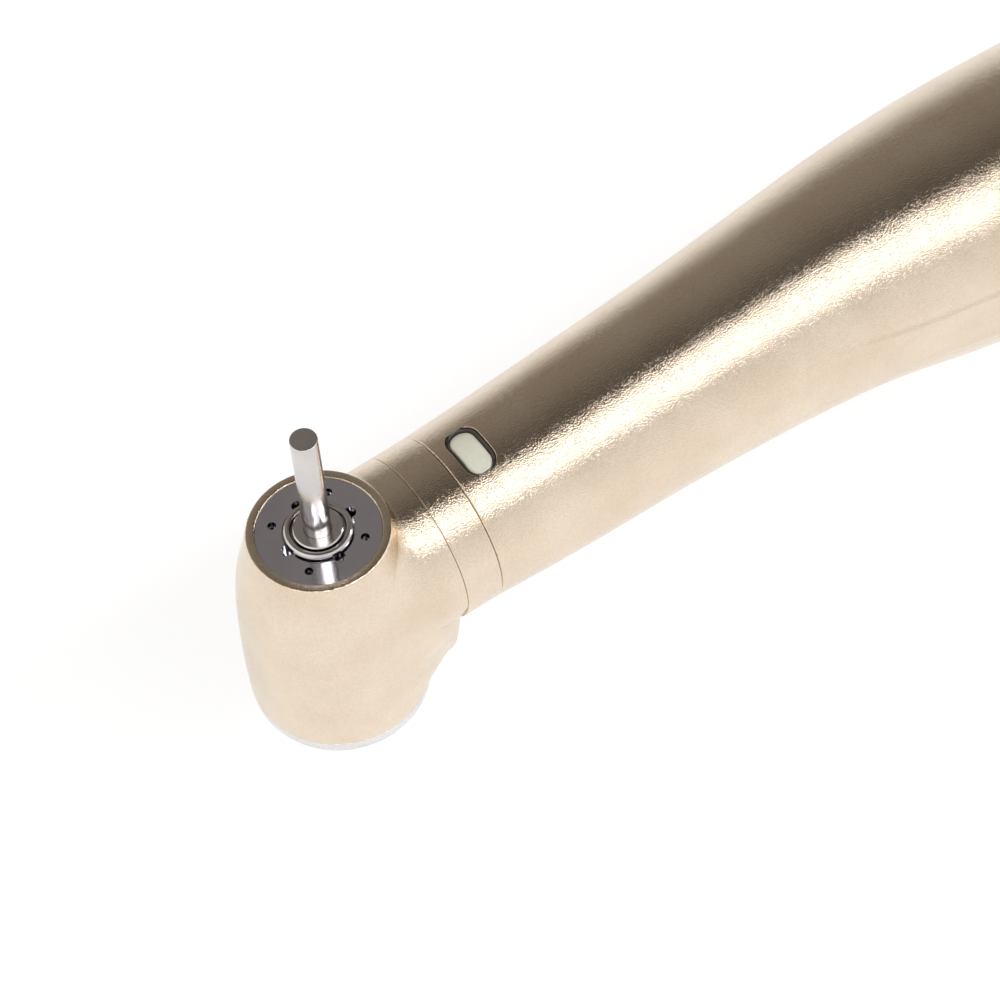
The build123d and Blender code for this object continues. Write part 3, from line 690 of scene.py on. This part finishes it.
world = bpy.data.worlds.new("studio")
bpy.context.scene.world = world
world.use_nodes = True
tree = world.node_tree
background = tree.nodes["Background"]
direction = tree.nodes.new("ShaderNodeTexCoord").outputs["Generated"]
split = tree.nodes.new("ShaderNodeSeparateXYZ")
tree.links.new(direction, split.inputs[0])
front = math_node(tree, "MULTIPLY", split.outputs["Y"], -1.0)
angle = math_node(tree, "ARCTAN2", split.outputs["Z"], front)
share = math_node(tree, "DIVIDE", angle, math.pi)
panel = tree.nodes.new("ShaderNodeMapRange")
panel.interpolation_type = "SMOOTHSTEP"
panel.inputs["From Min"].default_value = 0.55
panel.inputs["From Max"].default_value = 0.80
tree.links.new(math_node(tree, "MULTIPLY", split.outputs["X"], -1.0), panel.inputs["Value"])
ramp = tree.nodes.new("ShaderNodeValToRGB")
tree.links.new(share, ramp.inputs["Fac"])
# light level round the object's long axis, from the front horizon (0) over the top to the back one (1)
stops = [(0.0, 0.96), (0.17, 0.96), (0.215, 0.84), (0.245, 0.60), (0.300, 0.62), (0.316, 8.0), (0.337, 8.0),
         (0.352, 0.12), (0.44, 0.09), (0.56, 0.12), (0.66, 0.23), (0.82, 0.26), (0.94, 0.28), (1.0, 0.48)]
DIM_BELOW, DIM_WARMTH = 0.4, 0.82
elements = ramp.color_ramp.elements
while len(elements) < len(stops):
    elements.new(0.5)
for element, (place, level) in zip(elements, stops):
    element.position = place
    warm = DIM_WARMTH if level < DIM_BELOW else 1.0
    element.color = (level, level * (0.5 + 0.5 * warm), level * warm, 1)
mix = tree.nodes.new("ShaderNodeMix")
mix.data_type = "RGBA"
tree.links.new(panel.outputs["Result"], mix.inputs[0])
tree.links.new(ramp.outputs["Color"], mix.inputs[6])
mix.inputs[7].default_value = (1.15, 1.13, 1.08, 1)
tree.links.new(mix.outputs[2], background.inputs["Color"])
background.inputs["Strength"].default_value = 1.0


def area_light(name, place, target, width, height, power):
    data = bpy.data.lights.new(name, "AREA")
    data.shape = "RECTANGLE"
    data.size, data.size_y = width, height
    data.energy = power
    lamp = bpy.data.objects.new(name, data)
    lamp.location = place
    lamp.rotation_euler = (Vector(target) - Vector(place)).to_track_quat("-Z", "Y").to_euler()
    bpy.context.scene.collection.objects.link(lamp)


KEY_AT = CROSS + np.array([0.15, -0.50, 0.78])
area_light("key", tuple(KEY_AT), tuple(CROSS), width=0.5, height=0.12, power=0.2)

camera_data = bpy.data.cameras.new("camera")
camera_data.sensor_width = 36.0
camera_data.lens = 193.09
camera_data.clip_start = 0.01
camera = bpy.data.objects.new("camera", camera_data)
bpy.context.scene.collection.objects.link(camera)
# the camera stands in the head's frame: along the neck, across it, along the bur
axes = np.stack([NECK, Y, BUR], axis=1)
place = RIM + axes @ (np.array([-73.503, -151.385, 248.568]) * MM)
right = axes @ np.array([0.8200, -0.5689, -0.0631])
down = axes @ np.array([-0.5017, -0.6611, -0.5578])
ahead = axes @ np.array([0.2756, 0.4891, -0.8275])
camera.matrix_world = Matrix([[right[i], -down[i], -ahead[i], place[i]] for i in range(3)] + [[0, 0, 0, 1]])
bpy.context.scene.camera = camera
bpy.context.scene.view_settings.view_transform = "Standard"
